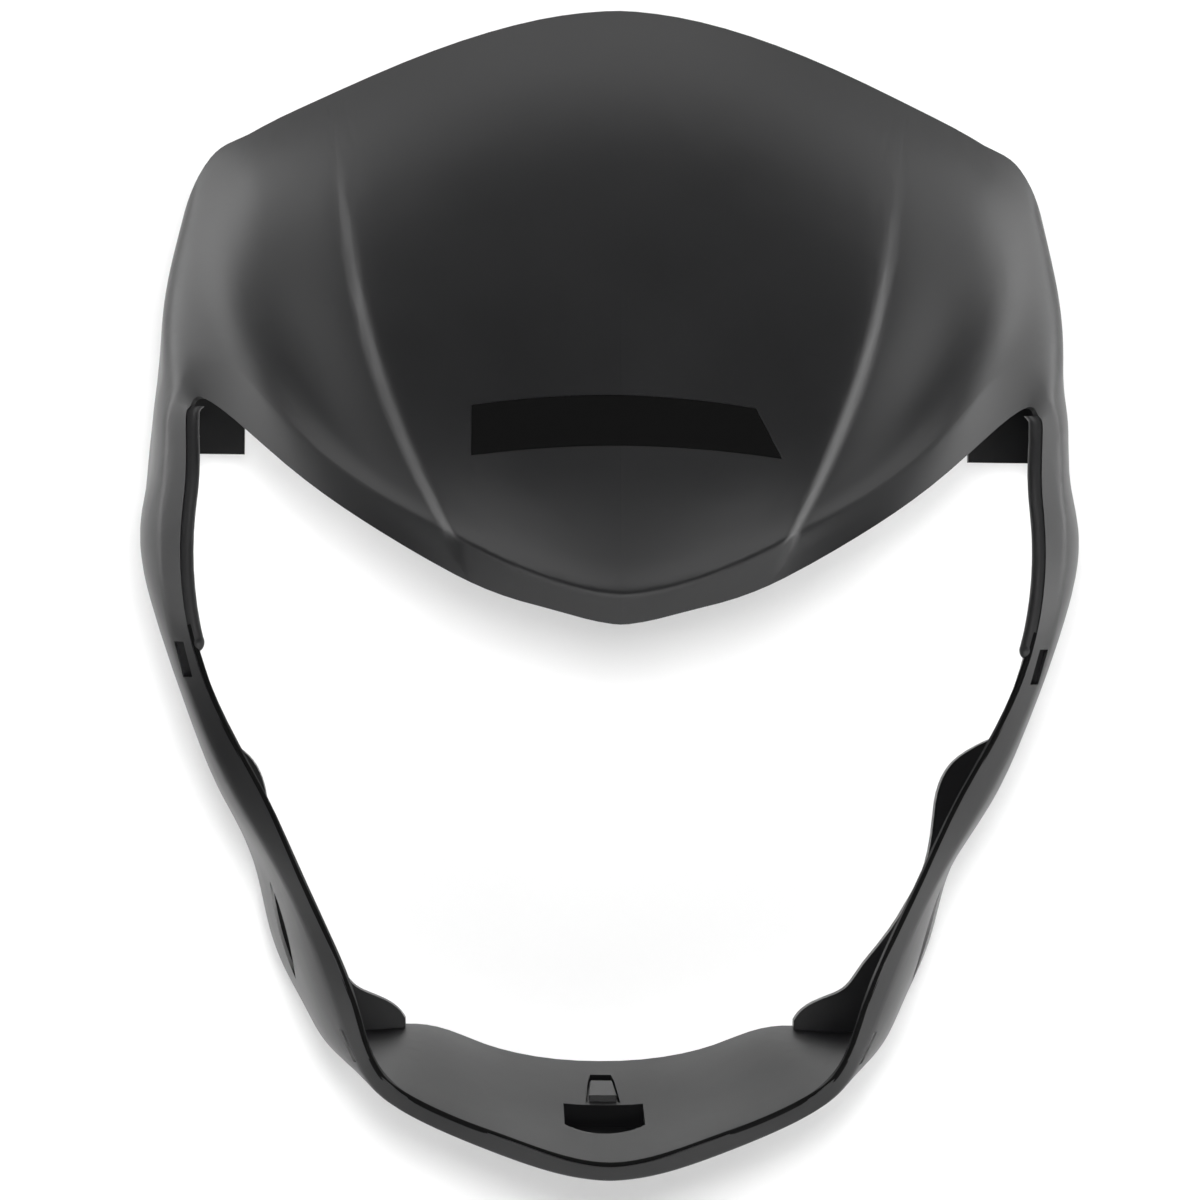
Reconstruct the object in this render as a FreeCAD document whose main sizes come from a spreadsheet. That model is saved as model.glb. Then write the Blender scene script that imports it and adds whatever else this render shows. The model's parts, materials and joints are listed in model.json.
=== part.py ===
import FreeCAD, Part
import math
import os
from FreeCAD import Vector

# Headlight fairing of a small motorbike: one moulded ring round the headlight opening.
# X runs across the motorbike, -Y forwards and Z up. The origin is midway between the two upper
# screw holes, on the rear face of the mounting flange.

doc = FreeCAD.newDocument("HeadlightFairing")

# name, value in mm, what it is
size_list = [
    ("moulding_width", 312.0, "widest part, across the arms"),
    ("moulding_height", 378.8, "visor top to lip tip"),
    ("moulding_depth", 145.0, "beak to rear rim"),
    ("wall", 2.5, "wall of the moulding"),
    ("fold_round", 3.0, "reach of the round at the front fold"),
    ("rib_rise", 2.6, "how far the raised centre stands out"),
    ("rib_facet", 6.5, "width of the slope beside the raised centre"),
    ("bead_width", 4.3, "rounded bead inside each arm"),
    ("bead_top", 128.0, "upper end of the bead"),
    ("bead_foot", 49.0, "lower end of the bead"),
    ("return_depth", 24.0, "how far the bead's web runs back"),
    ("bead_wall", 2.0, "wall of the bead and its web"),
    ("web_lean", 4.5, "how far the web leans outwards over its depth"),
    ("flange_wall", 5.0, "thickness of the rear mounting flange"),
    ("ear_screw_span", 244.0, "between the upper screw holes"),
    ("foot_screw_span", 180.0, "between the lower screw holes"),
    ("foot_screw_drop", 74.0, "lower screw holes below the upper ones"),
    ("screw_hole", 4.2, "blind hole for a 5 mm self-tapping screw"),
    ("hole_floor", 1.2, "left in front of a blind screw hole"),
    ("bracket_wall", 3.0, "thickness of the brackets behind the visor"),
    ("bracket_inset", 124.5, "inner end of a bracket from the middle"),
    ("bracket_foot", 115.5, "lower edge of a bracket"),
    ("bracket_tall", 24.5, "height of a bracket"),
    ("bracket_back", 20.0, "rear face of a bracket ahead of the flange"),
    ("shelf_reach", 28.0, "how far a bracket's shelf runs forwards"),
    ("socket_width", 27.0, "width of the peg socket in the panel"),
    ("socket_length", 24.0, "front to back of the peg socket"),
    ("socket_back", 38.5, "flat side of the socket ahead of the flange"),
    ("socket_drop", 7.5, "socket below the panel's outer face"),
    ("socket_wall", 2.0, "wall of the peg socket"),
    ("clip_root", 10.2, "width of the spring clip at the socket"),
    ("clip_tip", 7.6, "width of the spring clip at its free end"),
    ("clip_length", 20.0, "free end of the clip behind the socket"),
    ("clip_gap", 7.0, "gap behind the clip's free end"),
    ("clip_slot", 0.8, "slot on each side of the clip"),
    ("vent_width", 3.6, "width of the vent in each cheek"),
    ("vent_top_out", 112.6, "upper end of the vent from the middle"),
    ("vent_top_drop", 28.0, "upper end of the vent below the origin"),
    ("vent_foot_out", 104.2, "lower end of the vent from the middle"),
    ("vent_foot_drop", 62.0, "lower end of the vent below the origin"),
    ("vent_fore", 75.0, "front of the vent's cut ahead of the flange"),
    ("vent_aft", 8.0, "back of the vent's cut ahead of the flange"),
    ("slit_width", 1.2, "width of the slit at each foot"),
    ("slit_top_out", 87.6, "upper end of the slit from the middle"),
    ("slit_top_drop", 74.0, "upper end of the slit below the origin"),
    ("slit_foot_out", 82.8, "lower end of the slit from the middle"),
    ("slit_foot_drop", 85.0, "lower end of the slit below the origin"),
    ("slit_fore", 95.0, "front of the slit's cut ahead of the flange"),
    ("slit_aft", 62.0, "back of the slit's cut ahead of the flange"),
    ("notch_width", 3.2, "width of the slot where each arm ends"),
    ("notch_top_out", 140.9, "upper end of the notch from the middle"),
    ("notch_top_lift", 52.0, "upper end of the notch above the origin"),
    ("notch_foot_out", 138.0, "lower end of the notch from the middle"),
    ("notch_foot_lift", 40.5, "lower end of the notch above the origin"),
    ("notch_fore", 100.0, "front of the notch's cut ahead of the flange"),
    ("notch_aft", 79.0, "back of the notch's cut ahead of the flange"),
    ("badge_left", 46.8, "plain strip's left end from the middle"),
    ("badge_right", 50.8, "plain strip's right end from the middle"),
    ("badge_slant", 8.2, "slant of the strip's right end"),
    ("badge_foot", 115.4, "lower edge of the strip at the middle"),
    ("badge_tall", 15.8, "height of the strip"),
    ("badge_sag", 3.6, "how much lower the strip's ends lie"),
    ("badge_wall", 0.8, "thickness of the strip"),
    ("badge_gap", 0.15, "clearance round the strip"),
    ("badge_glue", 0.05, "adhesive under the strip"),
]

sheet = doc.addObject("Spreadsheet::Sheet", "Sizes")
for row, (name, value, note) in enumerate(size_list, 1):
    sheet.set("A%d" % row, name)
    sheet.set("B%d" % row, str(value))
    sheet.set("C%d" % row, note)
    sheet.setAlias("B%d" % row, name)
doc.recompute()


def size(name):
    return float(sheet.get(name))


# Table of offsets for the left-hand half seen from behind, in mm as drawn at full size. Each row
# is one section of the moulding, from the visor's middle round to the lip's tip. Its points run
# from the rear rim over the outer skin to the front fold, then to the edge of the opening.
sections = [
    ("centre",
     (0, -90.5, 257.8), (0, -113.5, 193.8), (0, -121, 129.8),
     (0, -129, 96.4), (0, -141.5, 68.5), (0, -137.5, 59.2)),
    ("beak",
     (44.2, -90, 249.8), (38.8, -111.5, 192.4), (33.2, -119, 129.9),
     (28.9, -126.5, 98.1), (24.8, -140, 74.1), (20.5, -136.5, 63.5)),
    ("rib",
     (94.5, -84.5, 229.8), (89.4, -104.5, 190), (83.4, -112, 153.2),
     (70.9, -118.5, 117.3), (56.2, -132, 88.5), (50.6, -131.5, 73.8)),
    ("cheek",
     (112.9, -81.5, 221.4), (110.6, -97.5, 184.4), (102, -103.5, 148.4),
     (92.5, -109.5, 124.1), (82.7, -121, 103.9), (77.4, -124.5, 89)),
    ("temple",
     (123.9, -79.5, 215.8), (125.5, -88.5, 188.6), (125, -93, 163.8),
     (119.9, -98, 147.2), (112.1, -105.5, 128.8), (107.9, -108.5, 110.7)),
    ("shoulder",
     (133, -77.5, 210.1), (135.6, -80.5, 189.4), (135.7, -84.5, 167.8),
     (132.2, -89.5, 152.7), (125.4, -95.5, 141.6), (124.5, -97, 125)),
    ("corner",
     (141, -72.5, 195.4), (144.7, -74.5, 177.5), (145.9, -78, 162),
     (143.2, -84, 149.8), (137.9, -88.5, 142.1), (134.2, -91.5, 131.2)),
    ("arm root",
     (147.6, -46, 166), (150, -58, 153), (149, -70, 143),
     (147, -79.5, 136.8), (142.6, -87.5, 133.2), (137.4, -91.2, 128)),
    ("arm top",
     (151, -20, 132.6), (153.1, -42, 130.4), (151.9, -62.5, 128.2),
     (149.6, -76.5, 126.8), (145.6, -86.5, 125.6), (139, -91, 125.1)),
    ("arm neck",
     (152.4, -10, 111), (156, -38, 109.5), (153, -61, 108.5),
     (150.4, -76, 107.8), (146.2, -86.5, 107.4), (138.7, -91.2, 107)),
    ("arm",
     (152.7, -7.5, 94.5), (155.5, -36.5, 93.9), (156, -60.5, 93.3),
     (152.8, -76.5, 92.9), (147.6, -86.5, 92.7), (140, -91, 92.6)),
    ("arm foot",
     (151.8, -3.5, 56.8), (150.8, -33.5, 57.1), (150, -59.5, 57.3),
     (148.4, -74.5, 57.4), (144.5, -84.5, 57.5), (138, -90.5, 57.6)),
    ("strip top",
     (143.2, -1.5, 26.3), (141.6, -30.5, 27.3), (139.9, -55.5, 28.1),
     (138.9, -71.5, 28.7), (135.6, -82.5, 29.1), (128.3, -89, 29.3)),
    ("strip",
     (131.2, 0.5, -3.6), (129.8, -27.5, -1.9), (128.4, -53.5, -0.4),
     (126, -71.5, 0.6), (122.2, -82.5, 1.3), (113.3, -89.5, 1.7)),
    ("pod top",
     (120.4, 3.5, -27.7), (118.8, -23.5, -26.3), (114.6, -50.5, -24.8),
     (111, -70.5, -23.9), (108, -82.5, -23.6), (102.2, -89.5, -22.7)),
    ("pod",
     (114.6, 3.5, -52.3), (112.2, -23.5, -51), (106.9, -50.5, -49),
     (102.2, -71.5, -47.2), (97.2, -84.5, -45.6), (92.2, -90.5, -43.7)),
    ("pod foot",
     (103.6, 2.5, -74), (102, -25.5, -72.8), (98.8, -50.5, -71.2),
     (94.4, -71.5, -69), (88.9, -84.5, -66.2), (83.9, -90.5, -63.8)),
    ("heel",
     (86.8, 1.5, -85.5), (89, -25.5, -87.2), (87.4, -50.5, -88),
     (84.1, -67.5, -88.6), (80.2, -78.5, -89.2), (77.4, -83.5, -84.6)),
    ("kink",
     (67.5, 1.5, -84.4), (69, -25.5, -88), (70.1, -50.5, -93),
     (70.8, -68.5, -97), (70.2, -78.5, -99.7), (67, -80.5, -95.4)),
    ("lip",
     (41.5, 1.5, -91.2), (40.5, -25.5, -96.9), (39.8, -50.5, -103.4),
     (39.5, -70.5, -108.1), (39, -87.5, -112.7), (39.3, -89.5, -106.2)),
    ("tip",
     (0, 1.5, -97.3), (0, -25.5, -103.4), (0, -50.5, -110.1),
     (0, -73.5, -115.8), (0, -95.5, -121), (0, -97.5, -115.9)),
]
drawn = [[point[axis] for section in sections for point in section[1:]] for axis in range(3)]
spans = [2 * max(drawn[0]), max(drawn[1]) - min(drawn[1]), max(drawn[2]) - min(drawn[2])]
stretch = Vector(*[size("moulding_" + side) / span for side, span in zip(("width", "depth", "height"), spans)])


def placed(x, y, z):
    return Vector(x * stretch.x, y * stretch.y, z * stretch.z)


rows = [[placed(*point) for point in section[1:]] for section in sections]
names = [section[0] for section in sections]

# Each section's place along the ring is the mean distance travelled by its points.
stations = [0.0]
for before, after in zip(rows, rows[1:]):
    stations.append(stations[-1] + sum(a.distanceToPoint(b) for a, b in zip(before, after)) / len(before))


def guide(points):
    """A curve through one column of the table, carried past the middle plane so that it meets it squarely."""
    across = lambda point: Vector(-point.x, point.y, point.z)
    beyond = [across(points[2]), across(points[1])] + points + [across(points[-2]), across(points[-3])]
    last = stations[-1]
    places = [-stations[2], -stations[1]] + stations + [2 * last - stations[-2], 2 * last - stations[-3]]
    curve = Part.BSplineCurve()
    curve.interpolate(Points=beyond, Parameters=places)
    return curve


guides = [guide([row[column] for row in rows]) for column in range(6)]
rib_place = stations[names.index("rib")]


def smooth(value):
    value = min(max(value, 0.0), 1.0)
    return value * value * (3 - 2 * value)


def section_points(place):
    """Points across the moulding from the rear rim to the opening's edge, at one place along the ring."""
    rim, high, middle, low, fold, edge = [curve.value(place) for curve in guides]
    skin = Part.BSplineCurve()
    skin.interpolate([rim, high, middle, low, fold])
    length = skin.length()
    reach = size("fold_round")
    spans = [length * step / 12.0 for step in range(12)]
    spans = [span * (length - 4 * reach) / spans[-1] for span in spans]
    spans += [length - 2.2 * reach, length - reach]
    points = []
    for span in spans:
        point = skin.value(skin.parameterAtDistance(span, skin.FirstParameter)) if span else rim
        points.append((point, span / length))
    for share in (0.0, 0.3, 0.65, 1.0):
        points.append((fold + (edge - fold) * share, 1.0 + share))
    shaped = []
    for point, along in points:
        facet = size("rib_facet") * (0.2 + 0.8 * smooth((along - 0.1) / 0.6))
        inside = smooth((rib_place - place) / facet)
        lift = size("rib_rise") * inside * smooth((along - 0.12) / 0.55) * (1 - smooth(along - 1.0))
        shaped.append(point - Vector(0, lift, 0))
    return shaped


def ring_places(first, last, step):
    places = []
    for start, end in zip(stations, stations[1:]):
        count = max(2, int(round((end - start) / step)))
        places += [start + (end - start) * i / count for i in range(count)]
    places.append(stations[-1])
    near_rib = [rib_place + offset * size("rib_facet") for offset in (0.25, 0.0, -0.25, -0.5, -0.75, -1.0, -1.3)]
    low, high = rib_place - 1.7 * size("rib_facet"), rib_place + 0.6 * size("rib_facet")
    places = [place for place in places if place > high or place < low] + near_rib
    return sorted(place for place in places if first <= place <= last)


def normals(grid):
    """Unit normals of a grid of points, outwards from the headlight."""
    found = []
    for i in range(len(grid)):
        line = []
        for j in range(len(grid[0])):
            along = grid[min(i + 1, len(grid) - 1)][j] - grid[max(i - 1, 0)][j]
            across = grid[i][min(j + 1, len(grid[0]) - 1)] - grid[i][max(j - 1, 0)]
            line.append(across.cross(along).normalize())
        found.append(line)
    return found


def surface(grid):
    patch = Part.BSplineSurface()
    along, across = [[4] + [1] * (count - 4) + [4] for count in (len(grid), len(grid[0]))]
    patch.buildFromPolesMultsKnots(grid, along, across, list(range(len(along))), list(range(len(across))),
                                   False, False, 3, 3)
    return patch


def spline(poles):
    curve = Part.BSplineCurve()
    count = len(poles)
    curve.buildFromPolesMultsKnots(poles, [4] + [1] * (count - 4) + [4], list(range(count - 2)), False, 3)
    return curve.toShape()


def sheet_solid(front, back):
    """A closed solid between two grids of poles."""
    faces = [surface(front), surface(back)]
    shapes = [patch.toShape() for patch in faces]
    for pick in ("u0", "u1", "v0", "v1"):
        borders = []
        for patch in faces:
            value = patch.bounds()[("u0", "u1", "v0", "v1").index(pick)]
            line = patch.uIso(value) if pick[0] == "u" else patch.vIso(value)
            borders.append(line.toShape())
        shapes.append(Part.makeRuledSurface(borders[0], borders[1]))
    shell = Part.makeShell(shapes)
    shell.sewShape()
    shell = shell.Shells[0] if shell.ShapeType != "Shell" else shell
    solid = Part.makeSolid(shell)
    if solid.Volume < 0:
        solid.reverse()
    return solid


def flattened(grid):
    """The columns at the middle plane, made square to it so that both halves meet smoothly."""
    for end, inner in ((0, 1), (-1, -2)):
        if abs(grid[end][0].x) < 1e-6:
            for j in range(len(grid[0])):
                grid[end][j] = Vector(0, grid[end][j].y, grid[end][j].z)
                grid[inner][j] = Vector(grid[inner][j].x, grid[end][j].y, grid[end][j].z)
    return grid


def skin_grid(places, depth):
    """Poles of the skin at a depth below its outer face."""
    outer = flattened([section_points(place) for place in places])
    facing = normals(outer)
    inner = []
    for points, directions in zip(outer, facing):
        inner.append([point - direction * depth for point, direction in zip(points, directions)])
    return flattened(inner)


def feature(label, shape):
    made = doc.addObject("Part::Feature", label)
    made.Shape = shape
    return made


def mirrored(source, label):
    made = doc.addObject("Part::Mirroring", label)
    made.Source = source
    made.Normal = Vector(1, 0, 0)
    return made


# The skin of one half, then its mirror image.
end = stations[-1]
half_places = ring_places(0.0, end, 6.0)
half_places = [0.0, 2.0] + [p for p in half_places if 4.0 < p < end - 4.0] + [end - 2.0, end]
half_skin = feature("HalfSkin", sheet_solid(skin_grid(half_places, 0.0), skin_grid(half_places, size("wall"))))
other_skin = mirrored(half_skin, "OtherSkin")

# The rounded bead inside each arm, with the web that runs back from it.
def bead_solid():
    edge = guides[5]
    corner, strip_top = names.index("corner"), names.index("strip top")
    places = [place for place in ring_places(stations[corner] - 6, stations[strip_top], 6.0)
              if size("bead_foot") < edge.value(place).z < size("bead_top")
              and edge.value(place).x > rows[corner][5].x]
    width, wall_behind = size("bead_width"), size("bead_wall")
    root = wall_behind - width
    front = [(1.0, 1.2), (-0.1, 0.4), (-0.35 * width, -0.1), (-0.8 * width, 0.1), (-width, 1.2), (-width, 3.2)]
    behind = [(0.3, 2.4), (-0.6, 2.5), (-0.4 * width, wall_behind + 0.3), (root - 0.1, wall_behind + 0.4),
              (root, wall_behind + 1.2), (root, wall_behind + 2.6)]
    for share in (0.4, 0.7, 1.0):
        front.append((share * size("web_lean") - width, share * size("return_depth")))
        behind.append((share * size("web_lean") + root, share * size("return_depth")))
    outlines = []
    for place in places:
        at = edge.value(place)
        near, far = [[at + Vector(across, back, 0) for across, back in line] for line in (front, behind)]
        tail, root_line = Part.makeLine(near[-1], far[-1]), Part.makeLine(far[0], near[0])
        outlines.append(Part.Wire([spline(near), tail, spline(far[::-1]), root_line]))
    return Part.makeLoft(outlines, True, False)


half_bead = feature("HalfBead", bead_solid())
other_bead = mirrored(half_bead, "OtherBead")

# The mounting flange inside the rear rim, from the ear beside the arm to the foot of the panel.
flange_inner = [(142, 21), (134.5, 18.6), (128.5, 15.4), (122.8, 11), (118.8, 4.6), (116.9, -2.5), (116, -11),
                (114.8, -19.5), (112.5, -28), (108.2, -36.5), (102.8, -45.6), (96.6, -54), (90.9, -61.3),
                (85.6, -68.2), (78.6, -71.6), (72.4, -74.6), (67.8, -79.6)]
rim_guide, high_guide = guides[0], guides[1]


def rim_point(place):
    """A point in the middle of the rim's wall, on the flange's plane."""
    rim, high = rim_guide.value(place), high_guide.value(place)
    share = (rim.y + size("flange_wall") / 2) / (rim.y - high.y)
    point = rim + (high - rim) * min(max(share, 0.0), 1.0)
    inwards = rim_guide.tangent(place)[0].cross(Vector(0, 1, 0)).normalize()
    if inwards.dot(Vector(point.x, 0, point.z)) > 0:
        inwards = inwards * -1
    return point + inwards * size("wall") * 0.6


def half_flange():
    inner = [placed(x, 0, z) for x, z in flange_inner]
    flat = lambda point: Vector(point.x, 0, point.z)
    places = [p for p in ring_places(stations[names.index("strip top")], stations[names.index("kink")], 8.0)]
    outer = [flat(rim_point(place)) for place in places]
    outer = [point for point in outer if point.z < inner[0].z]
    inside = Part.BSplineCurve()
    inside.interpolate(inner)
    outside = Part.BSplineCurve()
    outside.interpolate(outer)
    start, finish = outer[0], outer[-1]
    foot, top = Part.makeLine(inner[-1], finish), Part.makeLine(start, inner[0])
    return Part.Face(Part.Wire(Part.__sortEdges__([inside.toShape(), foot, outside.toShape(), top])))


flange_face = feature("FlangeOutline", half_flange())
flange = doc.addObject("Part::Extrusion", "Flange")
flange.Base = flange_face
flange.DirMode = "Custom"
flange.Dir = Vector(0, -1, 0)
flange.Solid = True
flange.setExpression("LengthFwd", "Sizes.flange_wall")
other_flange = mirrored(flange, "OtherFlange")


def block(label, length, width, height, x, y, z):
    made = doc.addObject("Part::Box", label)
    for field, rule in (("Length", length), ("Width", width), ("Height", height)):
        made.setExpression(field, rule)
    for field, rule in (("x", x), ("y", y), ("z", z)):
        made.setExpression("Placement.Base." + field, rule)
    return made


def bore(label, radius, reach, x, y, z):
    """A cylinder along Y that starts at the given point and runs backwards."""
    made = doc.addObject("Part::Cylinder", label)
    made.Placement.Rotation = FreeCAD.Rotation(Vector(1, 0, 0), -90)
    made.setExpression("Radius", radius)
    made.setExpression("Height", reach)
    for field, rule in (("x", x), ("y", y), ("z", z)):
        made.setExpression("Placement.Base." + field, rule)
    return made


# A bracket behind each upper corner: an upright plate with a shelf, both rooted in the side wall.
arm_inside = guides[1].value(stations[names.index("arm top")]).x - size("wall") * 0.5
plate = block("BracketPlate", "%g - Sizes.bracket_inset" % arm_inside, "Sizes.bracket_wall", "Sizes.bracket_tall",
              "Sizes.bracket_inset", "-Sizes.bracket_back - Sizes.bracket_wall", "Sizes.bracket_foot")
shelf = block("BracketShelf", "%g - Sizes.bracket_inset" % arm_inside, "Sizes.shelf_reach", "Sizes.bracket_wall",
              "Sizes.bracket_inset", "-Sizes.bracket_back - Sizes.shelf_reach",
              "Sizes.bracket_foot + Sizes.bracket_tall - Sizes.bracket_wall")
other_plate, other_shelf = mirrored(plate, "OtherPlate"), mirrored(shelf, "OtherShelf")

moulding = doc.addObject("Part::MultiFuse", "Moulding")
moulding.Shapes = [half_skin, other_skin, half_bead, other_bead, flange, other_flange,
                   plate, shelf, other_plate, other_shelf]

# Blind screw holes in the rear face of the flange, in the ears and at the feet.
holes = []
for side, sign in (("Left", "-"), ("Right", "")):
    for place, span, height in (("Ear", "Sizes.ear_screw_span", "0"),
                                ("Foot", "Sizes.foot_screw_span", "-Sizes.foot_screw_drop")):
        holes.append(bore(place + "Hole" + side, "Sizes.screw_hole / 2", "Sizes.flange_wall",
                          sign + span + " / 2", "Sizes.hole_floor - Sizes.flange_wall", height))


def prism(label, outline, placement, length):
    """An outline, drawn as a face, pushed along its own placement's Y or Z."""
    face = feature(label + "Outline", outline)
    face.Placement = placement
    made = doc.addObject("Part::Extrusion", label)
    made.Base = face
    made.DirMode = "Custom"
    made.Dir = outline.normalAt(0, 0)
    if abs(made.Dir.z) > 0.5:
        made.Dir = placement.Rotation.multVec(Vector(0, 0, 1))
    else:
        made.Dir = Vector(0, 1, 0)
    made.LengthFwd = length
    made.Solid = True
    return made


def from_front(label, outline, fore, aft):
    """A prism along Y between two distances ahead of the flange, its outline seen from the front."""
    return prism(label, outline, FreeCAD.Placement(Vector(0, -fore, 0), FreeCAD.Rotation()), fore - aft)


def lens(top, foot, width):
    """A slot with pointed ends, its sides two arcs."""
    upper, lower = placed(top[0], 0, top[1]), placed(foot[0], 0, foot[1])
    across = (upper - lower).cross(Vector(0, 1, 0)).normalize() * (width / 2)
    middle = (upper + lower) * 0.5
    sides = Part.Arc(upper, middle + across, lower), Part.Arc(lower, middle - across, upper)
    return Part.Face(Part.Wire([side.toShape() for side in sides]))


def slot(top, foot, width):
    """A straight slot with level ends."""
    upper, lower, half = placed(top[0], 0, top[1]), placed(foot[0], 0, foot[1]), Vector(width / 2, 0, 0)
    return Part.Face(Part.makePolygon([upper - half, upper + half, lower + half, lower - half, upper - half]))


# A lens-shaped vent in each cheek, a slit beside each foot and a slot where each arm ends.
vent_ends = (size("vent_top_out"), -size("vent_top_drop")), (size("vent_foot_out"), -size("vent_foot_drop"))
slit_ends = (size("slit_top_out"), -size("slit_top_drop")), (size("slit_foot_out"), -size("slit_foot_drop"))
notch_ends = (size("notch_top_out"), size("notch_top_lift")), (size("notch_foot_out"), size("notch_foot_lift"))
vent = from_front("Vent", lens(*vent_ends, size("vent_width")), size("vent_fore"), size("vent_aft"))
slit = from_front("Slit", slot(*slit_ends, size("slit_width")), size("slit_fore"), size("slit_aft"))
notch = from_front("Notch", slot(*notch_ends, size("notch_width")), size("notch_fore"), size("notch_aft"))
holes += [vent, slit, notch] + [mirrored(cutter, "Other" + cutter.Label) for cutter in (vent, slit, notch)]

# The peg socket and the spring clip lie square to the panel, which rises towards the rear.
panel_fore, panel_aft = guides[3].value(stations[-1]), guides[1].value(stations[-1])
panel_slope = math.atan2(panel_aft.z - panel_fore.z, panel_aft.y - panel_fore.y)
socket_share = (-size("socket_back") - panel_fore.y) / (panel_aft.y - panel_fore.y)
socket_place = panel_fore + (panel_aft - panel_fore) * socket_share


def from_panel(label, outline, foot, top):
    """A prism square to the panel, between two heights over its outer face."""
    turn = FreeCAD.Rotation(Vector(1, 0, 0), math.degrees(panel_slope))
    start = socket_place + turn.multVec(Vector(0, 0, foot))
    return prism(label, outline, FreeCAD.Placement(start, turn), top - foot)


def d_outline(grow):
    """The socket in plan: a flat side to the rear and a round front."""
    half, reach, side = size("socket_width") / 2 + grow, size("socket_length") + grow, 0.75 * size("socket_length")
    corners = [Vector(-half, grow, 0), Vector(half, grow, 0), Vector(half, -side, 0), Vector(-half, -side, 0)]
    front = Part.Arc(corners[2], Vector(0, -reach, 0), corners[3]).toShape()
    lines = [Part.makeLine(corners[i - 1], corners[i]) for i in (1, 2, 0)]
    return Part.Face(Part.Wire([lines[0], lines[1], front, lines[2]]))


def clip_outline():
    """A slot round three sides of the clip, which widens towards its root at the socket."""
    root, tip, slit_wide, far = size("clip_root") / 2, size("clip_tip") / 2, size("clip_slot"), size("clip_length")
    near, end_gap = size("socket_wall"), size("clip_length") + size("clip_gap")
    right = [Vector(root, near, 0), Vector(tip, far, 0)]
    outside = [Vector(tip * 0.95, end_gap, 0), Vector(tip + slit_wide, far, 0), Vector(root + slit_wide, near, 0)]
    flip = lambda points: [Vector(-point.x, point.y, 0) for point in reversed(points)]
    loop = right + flip(right) + flip(outside) + outside
    return Part.Face(Part.makePolygon(loop + loop[:1]))


socket = from_panel("Socket", d_outline(size("socket_wall")), -size("socket_drop"), size("wall") / 2)
pocket = from_panel("Pocket", d_outline(0.0), size("socket_wall") - size("socket_drop"), size("wall") * 3)
clip_slot = from_panel("ClipSlot", clip_outline(), -size("wall"), size("wall") * 3)
moulding.Shapes = moulding.Shapes + [socket]
holes += [pocket, clip_slot]


def badge_outline(grow):
    """The strip seen from the front: arched long sides, an upright left end and a slanted right end."""
    left, right, slant = -size("badge_left"), size("badge_right"), size("badge_slant")
    foot, tall, sag = size("badge_foot"), size("badge_tall"), size("badge_sag")
    under, over = foot - sag - grow, foot + tall - sag + grow
    corners = [Vector(left - grow, 0, under), Vector(right + grow, 0, under),
               Vector(right - slant + grow, 0, over), Vector(left - grow, 0, over)]
    low = Part.Arc(corners[0], Vector(0, 0, foot - grow), corners[1]).toShape()
    high = Part.Arc(corners[2], Vector(0, 0, foot + tall + grow), corners[3]).toShape()
    ends = [Part.makeLine(corners[1], corners[2]), Part.makeLine(corners[3], corners[0])]
    return Part.Face(Part.Wire([low, ends[0], high, ends[1]]))


def badge_layer(label, outline, above, below):
    """The part of a layer that follows the visor's face, inside the strip's outline."""
    places = [place for place in half_places if place < rib_place + 12]
    layer = sheet_solid(skin_grid(places, -above), skin_grid(places, below))
    both = feature(label + "Layer", layer.fuse(layer.mirror(Vector(0, 0, 0), Vector(1, 0, 0))))
    cutter = from_front(label + "Cutter", outline, size("moulding_depth"), size("moulding_depth") / 2)
    made = doc.addObject("Part::Common", label)
    made.Base, made.Tool = both, cutter
    return made


recess_depth = size("badge_wall") + size("badge_glue")
recess = badge_layer("Recess", badge_outline(size("badge_gap")), size("wall"), recess_depth)
badge = badge_layer("Badge", badge_outline(0.0), 0.0, size("badge_wall"))
badge.Label = "badge_strip"
holes.append(recess)

cuts = doc.addObject("Part::MultiFuse", "Cuts")
cuts.Shapes = holes
shell = doc.addObject("Part::Cut", "Shell")
shell.Base = moulding
shell.Tool = cuts
shell.Label = "fairing_shell"

doc.recompute()

parts = [shell, badge]
for item in doc.Objects:
    if "Invalid" in item.State or "Error" in item.State:
        raise RuntimeError("%s failed: %s" % (item.Label, item.State))
for item in parts:
    if item.Shape.isNull() or not item.Shape.isValid():
        raise RuntimeError("%s has no valid shape" % item.Label)

os.makedirs("parts", exist_ok=True)
for item in parts:
    box, volume = item.Shape.BoundBox, item.Shape.Volume / 1000
    print("%s: %d solid, %.1f x %.1f x %.1f mm, %.1f cm3, %d faces" % (
        item.Label, len(item.Shape.Solids), box.XLength, box.YLength, box.ZLength, volume, len(item.Shape.Faces)))
    item.Shape.exportStep("parts/%s.step" % item.Label)
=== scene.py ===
# Studio scene for a motorbike headlight fairing: one satin black moulding with a plain strip on its visor.
# Lengths are metres in the part's own frame: +X to the right seen from the front, -Y forwards, +Z up.

import json
import math
import bmesh
import bpy
from mathutils import Matrix, Vector

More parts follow.
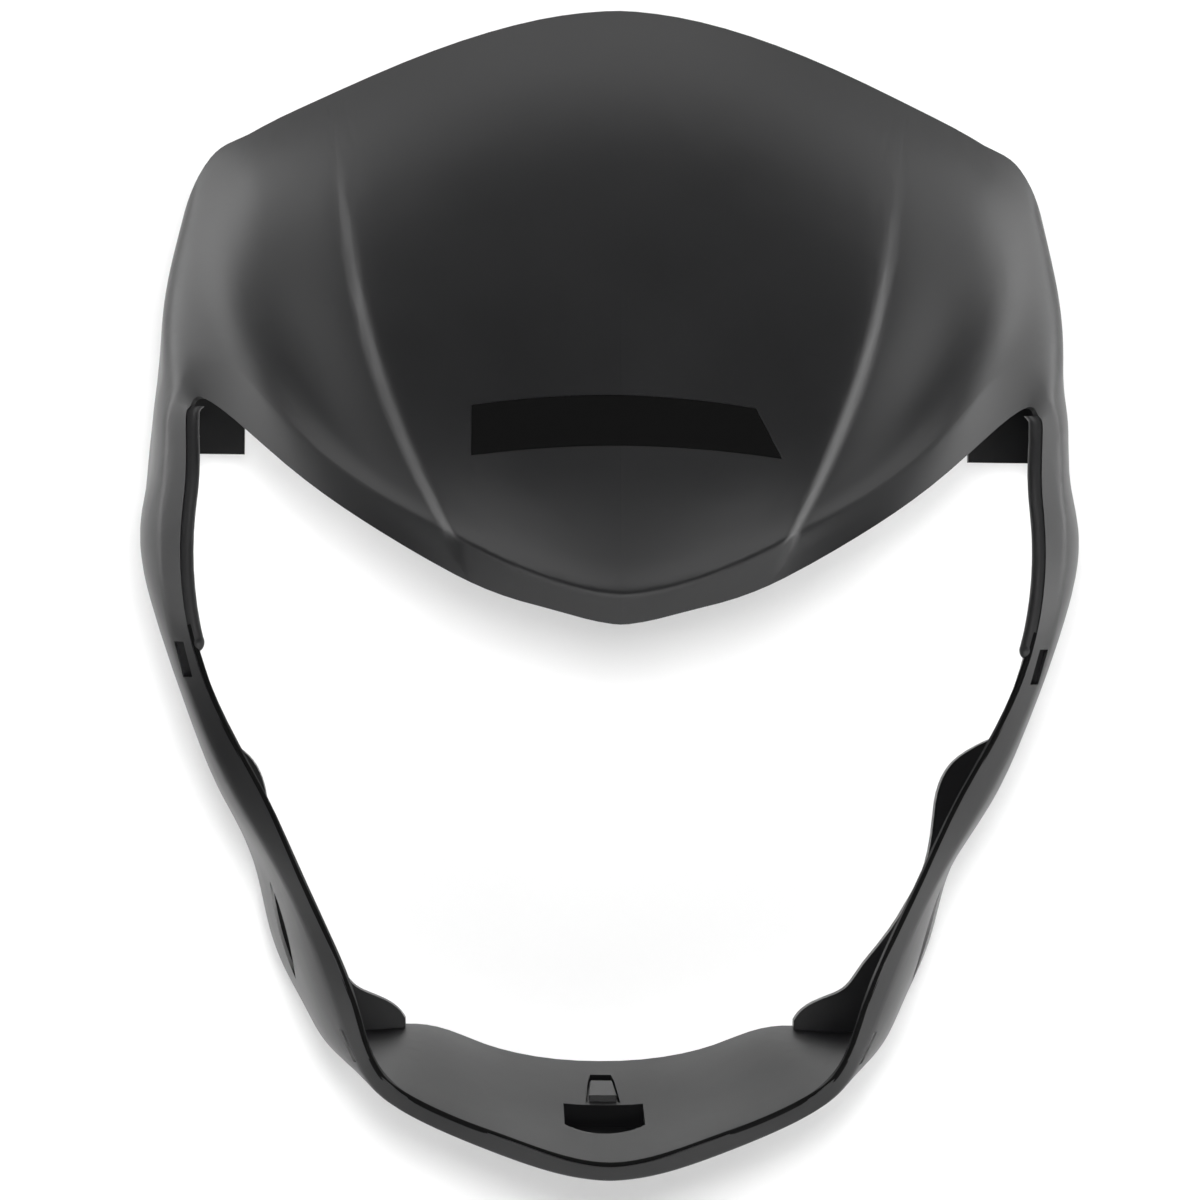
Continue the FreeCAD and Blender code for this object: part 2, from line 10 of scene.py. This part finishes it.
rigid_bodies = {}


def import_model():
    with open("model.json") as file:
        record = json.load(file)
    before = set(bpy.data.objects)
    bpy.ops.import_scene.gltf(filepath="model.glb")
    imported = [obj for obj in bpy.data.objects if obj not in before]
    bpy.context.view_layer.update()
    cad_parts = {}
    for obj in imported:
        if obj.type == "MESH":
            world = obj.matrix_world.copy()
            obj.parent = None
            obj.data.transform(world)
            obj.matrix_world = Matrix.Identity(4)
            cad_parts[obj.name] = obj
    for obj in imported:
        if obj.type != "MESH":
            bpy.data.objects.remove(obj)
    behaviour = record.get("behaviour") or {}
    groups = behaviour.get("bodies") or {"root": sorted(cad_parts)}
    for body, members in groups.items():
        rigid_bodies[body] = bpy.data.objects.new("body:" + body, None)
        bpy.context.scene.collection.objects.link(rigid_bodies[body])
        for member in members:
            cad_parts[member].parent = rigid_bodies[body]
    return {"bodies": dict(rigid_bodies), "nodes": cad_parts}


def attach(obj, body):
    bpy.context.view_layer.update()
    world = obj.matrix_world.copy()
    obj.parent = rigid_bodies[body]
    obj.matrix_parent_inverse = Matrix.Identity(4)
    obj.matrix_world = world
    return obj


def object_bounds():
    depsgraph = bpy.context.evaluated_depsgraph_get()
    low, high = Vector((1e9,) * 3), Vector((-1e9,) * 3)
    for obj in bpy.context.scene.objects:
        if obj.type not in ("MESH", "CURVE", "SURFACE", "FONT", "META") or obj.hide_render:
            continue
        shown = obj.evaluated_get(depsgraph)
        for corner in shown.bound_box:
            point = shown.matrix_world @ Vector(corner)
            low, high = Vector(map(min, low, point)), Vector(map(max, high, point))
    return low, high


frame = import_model()
for leftover in ("Cube", "Light", "Camera"):  # a fresh file's own objects
    if leftover in bpy.data.objects:
        bpy.data.objects.remove(bpy.data.objects[leftover])
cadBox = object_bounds()
bodyName = next(iter(frame["bodies"]))  # the fairing has one body, and every piece rides on it
print("frame loaded:", sorted(frame["nodes"]))


def linearColour(hexCode):
    channels = [int(hexCode[i:i + 2], 16) / 255 for i in (1, 3, 5)]
    return [c / 12.92 if c <= 0.04045 else ((c + 0.055) / 1.055) ** 2.4 for c in channels] + [1.0]


def addNode(tree, kind, settings=None, links=None, **fields):
    # settings go to input sockets by name or number, links join another node's output to an input
    node = tree.nodes.new(kind)
    for field, value in fields.items():
        setattr(node, field, value)
    for socket, value in (settings or {}).items():
        node.inputs[socket].default_value = value
    for socket, source in (links or {}).items():
        tree.links.new(source, node.inputs[socket])
    return node


def newMaterial(name):
    material = bpy.data.materials.new(name)
    material.use_nodes = True
    material.node_tree.nodes.clear()
    return material, material.node_tree


# Satin ABS, injection moulded in black: a fine spark-eroded grain breaks up its soft sheen.
absLook = {
    "colour": "#0d0d0e",
    "polished": "#0a0a0b",
    "roughness": 0.42,
    "roughnessSpread": 0.02,
    "ior": 1.52,
    "grainSize": 0.0006,  # the real grain is about 0.1 mm, drawn coarser so that it shows
    "grainDetail": 3.0,
    "grainRoughness": 0.6,
    "grainHeight": 0.00001,
    "grainStrength": 0.6,
    "cloudSize": 0.045,
    "cloudDetail": 2.0,
    "cloudRange": (0.3, 0.7),  # the noise values that give the least and the most roughness
}


def mouldedAbs(look):
    material, tree = newMaterial("satinMouldedAbs")
    place = addNode(tree, "ShaderNodeTexCoord").outputs["Object"]
    grain = addNode(tree, "ShaderNodeTexNoise", {
        "Scale": 1 / look["grainSize"], "Detail": look["grainDetail"], "Roughness": look["grainRoughness"],
    }, {"Vector": place})
    cloud = addNode(tree, "ShaderNodeTexNoise", {
        "Scale": 1 / look["cloudSize"], "Detail": look["cloudDetail"],
    }, {"Vector": place})
    shade = addNode(tree, "ShaderNodeMix", {
        6: linearColour(look["polished"]), 7: linearColour(look["colour"]),
    }, {0: cloud.outputs["Fac"]}, data_type="RGBA")
    rough = addNode(tree, "ShaderNodeMapRange", {
        "From Min": look["cloudRange"][0],
        "From Max": look["cloudRange"][1],
        "To Min": look["roughness"] - look["roughnessSpread"],
        "To Max": look["roughness"] + look["roughnessSpread"],
    }, {"Value": cloud.outputs["Fac"]})
    bump = addNode(tree, "ShaderNodeBump", {
        "Strength": look["grainStrength"], "Distance": look["grainHeight"],
    }, {"Height": grain.outputs["Fac"]})
    shader = addNode(tree, "ShaderNodeBsdfPrincipled", {"IOR": look["ior"]}, {
        "Base Color": shade.outputs[2], "Roughness": rough.outputs["Result"], "Normal": bump.outputs["Normal"]})
    addNode(tree, "ShaderNodeOutputMaterial", None, {"Surface": shader.outputs["BSDF"]})
    return material


# Cast black film with a dull face: it shows as one even black.
filmLook = {
    "colour": "#060606",
    "roughness": 0.62,
    "roughnessSpread": 0.05,
    "specular": 0.06,
    "mottleSize": 0.004,
    "mottleDetail": 2.0,
}


def blackFilm(look):
    material, tree = newMaterial("dullBlackFilm")
    place = addNode(tree, "ShaderNodeTexCoord").outputs["Object"]
    mottle = addNode(tree, "ShaderNodeTexNoise", {
        "Scale": 1 / look["mottleSize"], "Detail": look["mottleDetail"],
    }, {"Vector": place})
    rough = addNode(tree, "ShaderNodeMapRange", {
        "To Min": look["roughness"] - look["roughnessSpread"],
        "To Max": look["roughness"] + look["roughnessSpread"],
    }, {"Value": mottle.outputs["Fac"]})
    shader = addNode(tree, "ShaderNodeBsdfPrincipled", {
        "Base Color": linearColour(look["colour"]), "Specular IOR Level": look["specular"],
    }, {"Roughness": rough.outputs["Result"]})
    addNode(tree, "ShaderNodeOutputMaterial", None, {"Surface": shader.outputs["BSDF"]})
    return material


def dress(node, material):
    mesh = frame["nodes"][node].data
    mesh.materials.clear()
    mesh.materials.append(material)


satinAbs = mouldedAbs(absLook)
dress("fairing_shell", satinAbs)
dress("badge_strip", blackFilm(filmLook))
print("materials set")


def meshPiece(name, points, faces, material):
    mesh = bpy.data.meshes.new(name)
    mesh.from_pydata(points, [], faces)
    mesh.materials.append(material)
    piece = bpy.data.objects.new(name, mesh)
    bpy.context.scene.collection.objects.link(piece)
    return piece


def slab(name, corners, thickness, material):
    # a plate with the given four corners as its front face, thickened away from that face
    a, b, c, d = [Vector(corner) for corner in corners]
    back = (b - a).cross(c - a).normalized() * -thickness
    points = [tuple(point) for point in (a, b, c, d, a + back, b + back, c + back, d + back)]
    faces = [(0, 1, 2, 3), (7, 6, 5, 4), (0, 4, 5, 1), (1, 5, 6, 2), (2, 6, 7, 3), (3, 7, 4, 0)]
    return meshPiece(name, points, faces, material)


# A thin near-black tube along the lower ring's inner edge, from one arm's end to the other: painted shade standing
# in for the shadow in the gap behind that edge, not a part of the fairing.
paintedShadeLook = {
    "colour": "#040404",
    "roughness": 0.7,
    "specular": 0.1,
    "radius": 0.0009,
    "sides": 12,
    "steps": 14,  # pieces of the path between two of its points
    "inwards": 0.0006,  # the tube's middle lies this far inside the edge
    "behind": 0.0008,  # and this far behind the front face
    "path": [
        (0.1380, -0.0905, 0.0576), (0.1283, -0.0890, 0.0293), (0.1133, -0.0895, 0.0017),
        (0.1022, -0.0895, -0.0227), (0.0922, -0.0905, -0.0437), (0.0839, -0.0905, -0.0638),
        (0.0774, -0.0835, -0.0846), (0.0670, -0.0805, -0.0954), (0.0393, -0.0895, -0.1062),
    ],
    "tip": (0.0, -0.0975, -0.1159),
}


# Matt near-black material for the tube of painted shade along the inner edge.
def paintedShadeBlack(look):
    material, tree = newMaterial("paintedShadeMaterial")
    shader = addNode(tree, "ShaderNodeBsdfPrincipled", {
        "Base Color": linearColour(look["colour"]),
        "Roughness": look["roughness"],
        "Specular IOR Level": look["specular"],
    })
    addNode(tree, "ShaderNodeOutputMaterial", None, {"Surface": shader.outputs["BSDF"]})
    return material


def tubeTree(look, material):
    # sweeps a round section along a path that is smoothed through its points
    tree = bpy.data.node_groups.new("tubeAlongPath", "GeometryNodeTree")
    tree.interface.new_socket("Geometry", in_out="INPUT", socket_type="NodeSocketGeometry")
    radius = tree.interface.new_socket("Radius", in_out="INPUT", socket_type="NodeSocketFloat")
    tree.interface.new_socket("Geometry", in_out="OUTPUT", socket_type="NodeSocketGeometry")
    given = addNode(tree, "NodeGroupInput")
    path = addNode(tree, "GeometryNodeCurveSplineType", None, {
        "Curve": given.outputs["Geometry"]}, spline_type="CATMULL_ROM")
    fine = addNode(tree, "GeometryNodeSetSplineResolution", {"Resolution": look["steps"]}, {
        "Geometry": path.outputs[0]})
    ring = addNode(tree, "GeometryNodeCurvePrimitiveCircle", {"Resolution": look["sides"]}, {
        "Radius": given.outputs["Radius"]})
    tube = addNode(tree, "GeometryNodeCurveToMesh", {"Fill Caps": True}, {
        "Curve": fine.outputs[0], "Profile Curve": ring.outputs[0]})
    smooth = addNode(tree, "GeometryNodeSetShadeSmooth", None, {0: tube.outputs[0]})
    real = addNode(tree, "GeometryNodeRealizeInstances", None, {0: smooth.outputs[0]})
    coat = addNode(tree, "GeometryNodeSetMaterial", {"Material": material}, {"Geometry": real.outputs[0]})
    addNode(tree, "NodeGroupOutput", None, {0: coat.outputs[0]})
    return tree, radius.identifier


# Builds the tube of painted shade along the lower ring's inner edge, mirrored from the right side to the left.
def edgeTrim(look):
    right = [Vector((x - look["inwards"], y + look["behind"], z)) for x, y, z in look["path"]]
    tip = Vector(look["tip"]) + Vector((0, look["behind"], look["inwards"]))
    points = right + [tip] + [Vector((-point.x, point.y, point.z)) for point in reversed(right)]
    line = bpy.data.curves.new("trimPath", "CURVE")
    line.dimensions = "3D"
    spline = line.splines.new("POLY")
    spline.points.add(len(points) - 1)
    for spot, point in zip(spline.points, points):
        spot.co = (*point, 1.0)
    drawn = bpy.data.objects.new("trimPath", line)
    bpy.context.scene.collection.objects.link(drawn)
    modifier = drawn.modifiers.new("tube", "NODES")
    modifier.node_group, radiusSocket = tubeTree(look, paintedShadeBlack(look))
    modifier[radiusSocket] = look["radius"]
    bpy.context.view_layer.update()
    mesh = bpy.data.meshes.new_from_object(drawn.evaluated_get(bpy.context.evaluated_depsgraph_get()))
    bpy.data.objects.remove(drawn)
    paintedShadeObject = bpy.data.objects.new("edgeTrim", mesh)
    bpy.context.scene.collection.objects.link(paintedShadeObject)
    return paintedShadeObject


# The painted shade line rides on the fairing's body like its other pieces.
paintedShadeObject = edgeTrim(paintedShadeLook)
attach(paintedShadeObject, bodyName)
print("edge trim made:", len(paintedShadeObject.data.polygons), "faces")

# Webs that close the slots from behind: one in each arm's end and one under the spring clip.
webLook = {
    "armFront": [
        (0.1335, -0.0765, 0.036), (0.1394, -0.0765, 0.036),
        (0.1466, -0.0765, 0.057), (0.1402, -0.0765, 0.057),
    ],
    "clipTop": [
        (-0.0068, -0.0375, -0.1067), (0.0068, -0.0375, -0.1067),
        (0.0056, -0.0095, -0.0999), (-0.0056, -0.0095, -0.0999),
    ],
    "thickness": 0.0012,
}
leftCorners = [(-x, y, z) for x, y, z in reversed(webLook["armFront"])]
for webName, corners in (
    ("rightArmWeb", webLook["armFront"]), ("leftArmWeb", leftCorners), ("clipWeb", webLook["clipTop"]),
):
    web = slab(webName, corners, webLook["thickness"], satinAbs)
    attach(web, bodyName)
print("slot webs made")


# The spring clip's catch: a low wedge on the tongue, thickest beside the socket.
catchLook = {
    "near": (0.0047, -0.0362, -0.1036),
    "far": (0.0036, -0.0192, -0.0991),
    "rise": 0.0021,  # above the tongue beside the socket
    "farRise": 0.0003,
    "sunk": 0.0008,  # into the tongue
    "bevel": 0.0002,
    "bevelSteps": 2,
}


def clipCatch(look, material):
    points = []
    for (x, y, z), lift in ((look["near"], look["rise"]), (look["far"], look["farRise"])):
        foot, top = z - look["sunk"], z + lift
        points += [(-x, y, foot), (x, y, foot), (x, y, top), (-x, y, top)]
    faces = [(0, 1, 2, 3), (5, 4, 7, 6), (1, 5, 6, 2), (4, 0, 3, 7), (3, 2, 6, 7), (4, 5, 1, 0)]
    catch = meshPiece("clipCatch", points, faces, material)
    bevel = catch.modifiers.new("softEdges", "BEVEL")
    bevel.width, bevel.segments = look["bevel"], look["bevelSteps"]
    return catch


catch = clipCatch(catchLook, satinAbs)
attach(catch, bodyName)
print("clip catch made")


# The round lower end of the bead inside each arm.
beadEndLook = {
    "place": (0.1345, -0.0884, 0.0518),
    "radii": (0.0021, 0.0021, 0.0029),
    "segments": 24,
    "rings": 16,
}


def beadEnds(look, material):
    mesh = bpy.data.meshes.new("beadEnds")
    shape = bmesh.new()
    x, y, z = look["place"]
    for side in (-1, 1):
        spot = Matrix.Translation((side * x, y, z)) @ Matrix.Diagonal((*look["radii"], 1.0))
        bmesh.ops.create_uvsphere(
            shape, u_segments=look["segments"], v_segments=look["rings"], radius=1.0, matrix=spot)
    shape.to_mesh(mesh)
    shape.free()
    mesh.shade_smooth()
    mesh.materials.append(material)
    ends = bpy.data.objects.new("beadEnds", mesh)
    bpy.context.scene.collection.objects.link(ends)
    return ends


ends = beadEnds(beadEndLook, satinAbs)
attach(ends, bodyName)
print("bead ends made")


# White paper behind and a pale floor below take the soft shadow. From behind or below, both are clear.
stageLook = {
    "wallGap": 0.024,  # behind the rear rim
    "floorGap": 0.045,  # below the lip's tip
    "reach": 4.0,
    "colour": "#d1d1d1",
    "glow": 0.27,  # keeps the paper white and the shadow pale
}


def paper(name, look):
    material, tree = newMaterial(name)
    path = addNode(tree, "ShaderNodeLightPath")
    seen = addNode(tree, "ShaderNodeMath", None, {
        0: path.outputs["Is Camera Ray"], 1: path.outputs["Is Glossy Ray"]}, operation="MAXIMUM")
    glow = addNode(tree, "ShaderNodeMath", {1: look["glow"]}, {0: seen.outputs[0]}, operation="MULTIPLY")
    matt = addNode(tree, "ShaderNodeBsdfDiffuse", {"Color": linearColour(look["colour"])})
    light = addNode(tree, "ShaderNodeEmission", None, {"Strength": glow.outputs[0]})
    both = addNode(tree, "ShaderNodeAddShader", None, {0: matt.outputs[0], 1: light.outputs[0]})
    back = addNode(tree, "ShaderNodeNewGeometry").outputs["Backfacing"]
    clear = addNode(tree, "ShaderNodeBsdfTransparent")
    surface = addNode(tree, "ShaderNodeMixShader", None, {0: back, 1: both.outputs[0], 2: clear.outputs[0]})
    addNode(tree, "ShaderNodeOutputMaterial", None, {"Surface": surface.outputs[0]})
    return material


def sheet(name, corners, material):
    piece = meshPiece(name, corners, [(0, 1, 2, 3)], material)
    return piece


low, high = cadBox
reach, wallY, floorZ = stageLook["reach"], high.y + stageLook["wallGap"], low.z - stageLook["floorGap"]
wallCorners = [(-reach, wallY, floorZ), (reach, wallY, floorZ), (reach, wallY, reach), (-reach, wallY, reach)]
floorCorners = [(-reach, -reach, floorZ), (reach, -reach, floorZ), (reach, reach, floorZ), (-reach, reach, floorZ)]
sheet("backdrop", wallCorners, paper("whitePaper", stageLook))
sheet("floor", floorCorners, paper("paleFloor", stageLook))


# Soft studio light. The rims stand behind the backdrop, which is clear from there, and graze the outer
# skin. The shadow lamp, a little above the camera, only throws the soft shadow on the paper.
lampSettings = {
    "overhead": {"place": (0.0, -0.6, 1.25), "size": (1.2, 0.9), "power": 6.0, "glossy": True},
    "leftSide": {"place": (-1.3, -0.30, 0.55), "size": (0.8, 0.9), "power": 8.0, "glossy": True},
    "rightSide": {"place": (1.3, -0.35, 0.25), "size": (0.8, 1.2), "power": 8.0, "glossy": True},
    "leftHigh": {"place": (-0.9, -0.5, 0.9), "size": (0.6, 0.6), "power": 3.4, "glossy": True},
    "rightHigh": {"place": (0.9, -0.5, 0.9), "size": (0.6, 0.6), "power": 3.0, "glossy": True},
    "leftRim": {"place": (-1.2, 0.25, 0.2), "size": (0.6, 1.0), "power": 28.0, "glossy": True},
    "rightRim": {"place": (1.2, 0.25, 0.2), "size": (0.6, 1.0), "power": 30.0, "glossy": True},
    "lowFront": {"place": (0.0, -1.0, -0.8), "size": (0.6, 0.4), "power": 1.2, "glossy": True},
    "footLight": {"place": (0.14, -1.2, -0.2), "size": (0.36, 0.14), "power": 3.6, "glossy": True},
    "shadowLamp": {"place": (-0.03, -1.0, 0.14), "size": (0.13, 0.13), "power": 8.8, "glossy": False},
}


def addLamp(name, look, aim):
    data = bpy.data.lights.new(name, "AREA")
    data.shape = "RECTANGLE"
    data.size, data.size_y = look["size"]
    data.energy = look["power"]
    lamp = bpy.data.objects.new(name, data)
    lamp.location = look["place"]
    lamp.rotation_euler = (aim - lamp.location).to_track_quat("-Z", "Y").to_euler()
    lamp.visible_glossy = look["glossy"]
    lamp.visible_camera = False
    bpy.context.scene.collection.objects.link(lamp)


middle = (low + high) / 2
for lampName, lampLook in lampSettings.items():
    addLamp(lampName, lampLook, middle)

# A black card beside the lower left keeps the left strip's face dark.
cardLook = {"x": -0.36, "y": (-0.42, 0.0), "z": (-0.32, 0.0), "colour": "#020202"}


def blackCard(look):
    material, tree = newMaterial("blackCard")
    matt = addNode(tree, "ShaderNodeBsdfDiffuse", {"Color": linearColour(look["colour"])})
    addNode(tree, "ShaderNodeOutputMaterial", None, {"Surface": matt.outputs[0]})
    across, (front, rear), (foot, top) = look["x"], look["y"], look["z"]
    corners = [(across, front, foot), (across, rear, foot), (across, rear, top), (across, front, top)]
    sheet("blackCard", corners, material).visible_camera = False


blackCard(cardLook)

# The world lights the object softly all round, and least from the front.
worldLook = {
    "ambient": 0.27,
    "front": 0.015,
    "span": (-0.9, 0.1),  # from straight ahead of the object to beside it, along Y
    "seen": 1.0,  # what the camera sees past the paper
}


def softWorld(look):
    world = bpy.data.worlds.new("studio")
    bpy.context.scene.world = world
    world.use_nodes = True
    tree = world.node_tree
    tree.nodes.clear()
    path = addNode(tree, "ShaderNodeLightPath")
    way = addNode(tree, "ShaderNodeTexCoord").outputs["Generated"]
    parts = addNode(tree, "ShaderNodeSeparateXYZ", None, {0: way})
    level = addNode(tree, "ShaderNodeMapRange", {
        "From Min": look["span"][0], "From Max": look["span"][1],
        "To Min": look["front"], "To Max": look["ambient"],
    }, {"Value": parts.outputs["Y"]})
    strength = addNode(tree, "ShaderNodeMix", {3: look["seen"]}, {
        0: path.outputs["Is Camera Ray"], 2: level.outputs["Result"]}, data_type="FLOAT")
    light = addNode(tree, "ShaderNodeBackground", None, {"Strength": strength.outputs[0]})
    addNode(tree, "ShaderNodeOutputWorld", None, {"Surface": light.outputs[0]})


softWorld(worldLook)

# The camera stands level, a little to the left of the middle, and is rolled by half a degree.
cameraLook = {
    "place": (-0.0464, -1.2055, 0.0668),
    "turn": 0.0374,
    "roll": 0.00993,
    "focal": 103.3,
    "sensor": 36.0,
    "clip": (0.05, 20),
}


def addCamera(look):
    data = bpy.data.cameras.new("photoCamera")
    data.sensor_width, data.lens = look["sensor"], look["focal"]
    data.clip_start, data.clip_end = look["clip"]
    camera = bpy.data.objects.new("photoCamera", data)
    level = Matrix.Rotation(-look["turn"], 4, "Z") @ Matrix.Rotation(math.pi / 2, 4, "X")
    camera.matrix_world = Matrix.Translation(look["place"]) @ level @ Matrix.Rotation(look["roll"], 4, "Z")
    bpy.context.scene.collection.objects.link(camera)
    bpy.context.scene.camera = camera


addCamera(cameraLook)
bpy.context.scene.view_settings.view_transform = "Standard"
print("stage, lights and camera set")
